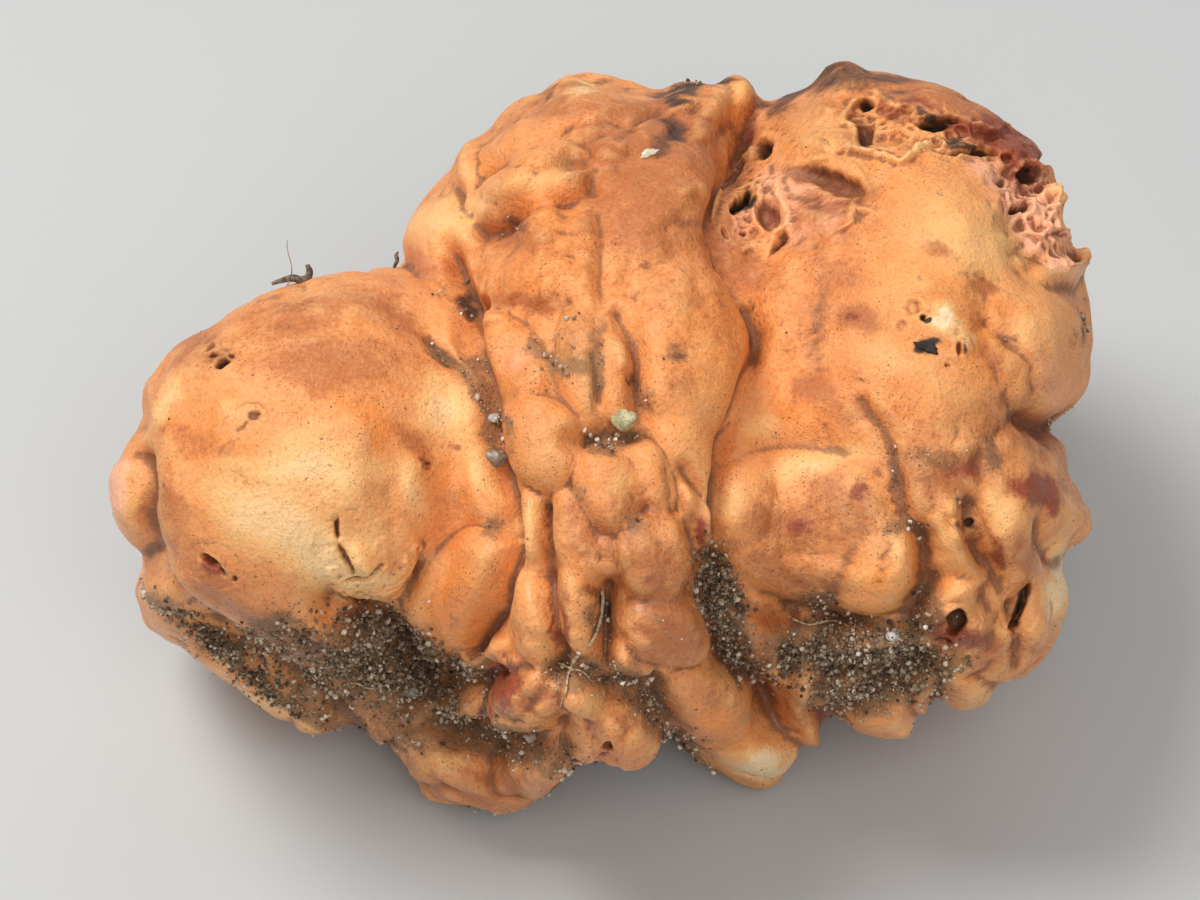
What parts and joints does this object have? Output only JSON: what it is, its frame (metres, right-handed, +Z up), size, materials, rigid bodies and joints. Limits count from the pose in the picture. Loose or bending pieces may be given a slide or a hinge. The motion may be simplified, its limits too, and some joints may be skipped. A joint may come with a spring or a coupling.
{
  "type": "hypogeous fungus fruit body",
  "caption": "Lobed and furrowed fruit body of a truffle-like underground fungus, lying on a surface, with crusts of soil caught in its furrows.",
  "frame": {"origin": "centre of the bounding box's underside, on the surface that the body lies on", "axes": "+X along the longest side, to the right as pictured; -Y towards the viewer; +Z up"},
  "size_m": [0.0492, 0.04, 0.0313],
  "materials": {
    "flesh": "slightly moist, finely felted fungus skin, peach to orange-brown",
    "soil": "rough dark humus with pale sand grains"
  },
  "bodies": {
    "root": {"fruit_body": "flesh", "soil_left": "soil", "soil_groove": "soil", "soil_cleft": "soil", "soil_right": "soil"}
  },
  "joints": []
}
